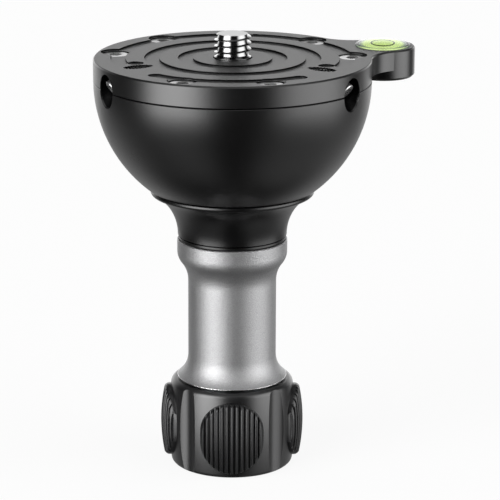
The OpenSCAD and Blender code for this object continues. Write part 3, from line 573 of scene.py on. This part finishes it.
# Slab: a round bar pulled apart into a long round one. Its outer face is drawn in step by step to a round
# rim.
slab_depth = pad_reach + rim_over - rim_round - pocket_floor
slab_middle = pocket_floor + slab_depth / 2
bpy.ops.object.select_all(action="DESELECT")
bpy.ops.mesh.primitive_cylinder_add(vertices=pad_sides, radius=pad_width / 2, depth=slab_depth,
                                    rotation=(0, math.pi / 2, 0), location=(slab_middle, 0, pad_middle))
pad = bpy.context.object
pad.name = "grip_pad_ribbed_1"
bpy.ops.object.transform_apply(location=True, rotation=True, scale=True)
for side in (1, -1):
    pick(pad, lambda point: side * (point.z - pad_middle) > hair)
    bpy.ops.transform.translate(value=(0, 0, side * (pad_height - pad_width) / 2))
    bpy.ops.object.mode_set(mode="OBJECT")
pick(pad, lambda point: point.x > slab_middle)
for k in range(rim_steps):
    a = math.radians(90 * k / rim_steps)
    b = math.radians(90 * (k + 1) / rim_steps)
    bpy.ops.mesh.inset(thickness=rim_round * (math.cos(a) - math.cos(b)),
                       depth=rim_round * (math.sin(b) - math.sin(a)))
bpy.ops.object.mode_set(mode="OBJECT")

# The outer face follows the curve of the ribs, and its middle is pulled out clear of them.
pull_out = 0.004
for vertex in pad.data.vertices:
    if vertex.co.x > slab_middle:
        vertex.co.x -= face_curve - math.sqrt(face_curve ** 2 - vertex.co.y ** 2) + fall_back(vertex.co.z)
bpy.ops.object.mode_set(mode="EDIT")
bpy.ops.mesh.extrude_region_move(TRANSFORM_OT_translate={"value": (pull_out, 0, 0)})
bpy.ops.mesh.select_all(action="SELECT")
bpy.ops.mesh.normals_make_consistent(inside=False)
bpy.ops.object.mode_set(mode="OBJECT")

# Ribs: the outline of the ribbed face, drawn round the face's axis, closed behind and pulled up in steps to
# a bar that follows the bulge. The slab is trimmed to what lies in the bar.
bar_half = pad_width * 0.51
bar_back = pocket_floor - 0.0001
bar_margin = 0.0005
bar_steps = 16
end_step = 0.0008
ribs = []
for k in range(rib_count):
    for u in rib_shape:
        angle = (k - (rib_count - 1) / 2 + u * rib_share) * rib_turn
        r = face_curve - rib_depth * (1 - math.sqrt(1 - u * u))
        ribs.append((face_axis + r * math.cos(angle), r * math.sin(angle)))
outline = ([(bar_back, -bar_half), (ribs[0][0] - end_step, -bar_half)] + ribs
           + [(ribs[-1][0] - end_step, bar_half), (bar_back, bar_half)])
bar_low = pad_middle - pad_height / 2 - bar_margin
bar_height = pad_height + 2 * bar_margin
levels = [bar_low + bar_height * k / bar_steps for k in range(bar_steps + 1)]
bar = draw_outline("pad_bar", [(x - fall_back(bar_low), y, bar_low) for x, y in outline])
bpy.ops.object.mode_set(mode="EDIT")
bpy.ops.mesh.select_all(action="SELECT")
bpy.ops.mesh.edge_face_add()
for below, above in zip(levels, levels[1:]):
    step = (fall_back(below) - fall_back(above), 0, above - below)
    bpy.ops.mesh.extrude_region_move(TRANSFORM_OT_translate={"value": step})
bpy.ops.mesh.select_all(action="SELECT")
bpy.ops.mesh.normals_make_consistent(inside=False)
bpy.ops.object.mode_set(mode="OBJECT")
trim(pad, bar)
smooth(pad, degrees=45)

# Moulded black rubber: a dull dark grey with a soft sheen and a mottle of 1.5 mm.
grip_rubber, tree, place = new_material("moulded_black_rubber")
cloud = add_node(tree, "ShaderNodeTexNoise", {"Scale": 1 / 0.0015, "Detail": 3.0}, {"Vector": place})
tone = add_node(tree, "ShaderNodeMix",
                {"data_type": "RGBA", 6: linear("#0f0f10"), 7: linear("#181819")},
                {0: cloud.outputs["Fac"]})
sheen = add_node(tree, "ShaderNodeMapRange", {"To Min": 0.26, "To Max": 0.34},
                 {"Value": cloud.outputs["Fac"]})
shader = add_node(tree, "ShaderNodeBsdfPrincipled", {"IOR": 1.5},
                  {"Base Color": tone.outputs[2], "Roughness": sheen.outputs[0]})
add_node(tree, "ShaderNodeOutputMaterial", {}, {"Surface": shader.outputs[0]})
pad.data.materials.clear()
pad.data.materials.append(grip_rubber)

# The first pad and three copies, each turned to its own side of the knob. With no window the rotate
# operator turns the other way, so the angles are negative.
first_turn = 67.5
pads = [pad]
for k in range(1, 4):
    other = pad.copy()
    other.data = pad.data.copy()
    other.name = "grip_pad_ribbed_" + str(k + 1)
    bpy.context.scene.collection.objects.link(other)
    pads.append(other)
for k, piece in enumerate(pads):
    pick(piece, lambda point: True)
    bpy.ops.transform.rotate(value=-math.radians(first_turn + 90 * k), orient_axis="Z",
                             center_override=(0, 0, 0))
    bpy.ops.object.mode_set(mode="OBJECT")
    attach(piece, "knob")
    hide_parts("grip_pad_" + str(k + 1))


# Floor
# A plain white sheet of card under the object. The camera sees it almost white, with the object's shadow
# left on it.

floor_half = 4.0
own_white = 0.9
bpy.ops.object.select_all(action="DESELECT")
bpy.ops.mesh.primitive_plane_add(size=2 * floor_half, location=(0, 0, 0))
floor = bpy.context.object
floor.name = "floor"
card, tree, place = new_material("white_card")
seen = add_node(tree, "ShaderNodeLightPath", {}, {})
paper = add_node(tree, "ShaderNodeBsdfDiffuse", {"Color": linear("#e8e8e8")}, {})
white = add_node(tree, "ShaderNodeEmission", {"Color": linear("#ffffff"), "Strength": 1.0}, {})
part_seen = add_node(tree, "ShaderNodeMath", {"operation": "MULTIPLY", 1: own_white},
                     {0: seen.outputs["Is Camera Ray"]})
both = add_node(tree, "ShaderNodeMixShader", {},
                {0: part_seen.outputs[0], 1: paper.outputs[0], 2: white.outputs[0]})
add_node(tree, "ShaderNodeOutputMaterial", {}, {"Surface": both.outputs[0]})
floor.data.materials.append(card)
floor.visible_glossy = False


# Studio light
# Two tall soft boxes left and right of the camera, a white wall behind the object, the faint glow of the
# floor on three sides, a dim ceiling, and a dark room behind the camera.

turned = math.radians(-22.5)
towards_camera = Vector((math.sin(turned), -math.cos(turned), 0.0))
to_the_right = Vector((math.cos(turned), math.sin(turned), 0.0))


def aim(angle):
    """The level direction that lies this many degrees right of the camera, as seen from the object."""
    a = math.radians(angle)
    return towards_camera * math.cos(a) + to_the_right * math.sin(a)


# Each patch of light has its direction, the angles from it at which the patch is full and is gone, its
# strength, and two pairs of heights, from dark to full, for its lower and its upper end.
box_ends = ((-0.52, -0.1), (0.85, 0.55))
floor_ends = ((-1.0, -0.9), (-0.2, -0.5))
left_box = (-48, 2, 34, 6.6, box_ends)
right_box = (71, 6, 42, 3.5, box_ends)
left_floor = (-64, 5, 60, 0.15, floor_ends)
right_floor = (72, 5, 62, 0.24, floor_ends)
back_wall = (180, 18, 56, 1.9, ((-0.4, -0.05), (0.52, 0.22)))
back_floor = (180, 35, 95, 0.4, ((-0.95, -0.6), (-0.15, -0.45)))
darkest = 0.02

world = bpy.data.worlds.new("studio")
bpy.context.scene.world = world
world.use_nodes = True
tree = world.node_tree
tree.nodes.clear()
way = add_node(tree, "ShaderNodeTexCoord", {}, {}).outputs["Generated"]
up = add_node(tree, "ShaderNodeSeparateXYZ", {}, {0: way}).outputs["Z"]
level = add_node(tree, "ShaderNodeVectorMath", {"operation": "MULTIPLY", 1: (1, 1, 0)}, {0: way})
level = add_node(tree, "ShaderNodeVectorMath", {"operation": "NORMALIZE"}, {0: level.outputs[0]})
total = add_node(tree, "ShaderNodeMapRange",
                 {"interpolation_type": "SMOOTHSTEP", "From Min": 0.7, "From Max": 0.95,
                  "To Min": darkest, "To Max": 0.6}, {"Value": up})
for angle, full, gone, strength, ends in (left_box, right_box, left_floor, right_floor, back_wall,
                                          back_floor):
    near = add_node(tree, "ShaderNodeVectorMath", {"operation": "DOT_PRODUCT", 1: aim(angle)},
                    {0: level.outputs[0]})
    patch = add_node(tree, "ShaderNodeMapRange",
                     {"interpolation_type": "SMOOTHSTEP", "From Min": math.cos(math.radians(gone)),
                      "From Max": math.cos(math.radians(full)), "To Min": 0.0, "To Max": strength},
                     {"Value": near.outputs["Value"]})
    for dark_height, full_height in ends:
        fade = add_node(tree, "ShaderNodeMapRange",
                        {"interpolation_type": "SMOOTHSTEP", "From Min": dark_height,
                         "From Max": full_height, "To Min": darkest, "To Max": 1.0}, {"Value": up})
        patch = add_node(tree, "ShaderNodeMath", {"operation": "MULTIPLY"},
                         {0: patch.outputs[0], 1: fade.outputs[0]})
    total = add_node(tree, "ShaderNodeMath", {"operation": "ADD"},
                     {0: total.outputs[0], 1: patch.outputs[0]})
seen = add_node(tree, "ShaderNodeLightPath", {}, {})
room = add_node(tree, "ShaderNodeBackground", {"Color": linear("#ffffff")}, {"Strength": total.outputs[0]})
white = add_node(tree, "ShaderNodeBackground", {"Color": linear("#ffffff"), "Strength": 1.0}, {})
both = add_node(tree, "ShaderNodeMixShader", {},
                {0: seen.outputs["Is Camera Ray"], 1: room.outputs[0], 2: white.outputs[0]})
add_node(tree, "ShaderNodeOutputWorld", {}, {"Surface": both.outputs[0]})


# Camera
# A long lens in front of the object, a little above it, level but for a hair of roll. Its angles are in
# radians and its place in metres.

pitch = 0.2739
yaw = 0.0067
roll = 0.0040
camera_place = Vector((-0.26641, -0.64317, 0.25361))
ahead = Vector((math.cos(pitch) * math.sin(yaw), math.cos(pitch) * math.cos(yaw), -math.sin(pitch)))
right = ahead.cross(Vector((0, 0, 1))).normalized()
upward = right.cross(ahead)
turn = Matrix.Rotation(turned, 3, "Z")
right_rolled = turn @ (right * math.cos(roll) + upward * math.sin(roll))
upward_rolled = turn @ (upward * math.cos(roll) - right * math.sin(roll))
behind = turn @ -ahead
facing = Matrix((right_rolled, upward_rolled, behind)).transposed()
lens = bpy.data.cameras.new("camera")
lens.sensor_width = 36.0
lens.lens = 198.11
lens.clip_end = 50.0
camera = bpy.data.objects.new("camera", lens)
bpy.context.scene.collection.objects.link(camera)
camera.matrix_world = Matrix.Translation(camera_place) @ facing.to_4x4()
bpy.context.scene.camera = camera
bpy.context.scene.view_settings.view_transform = "Standard"
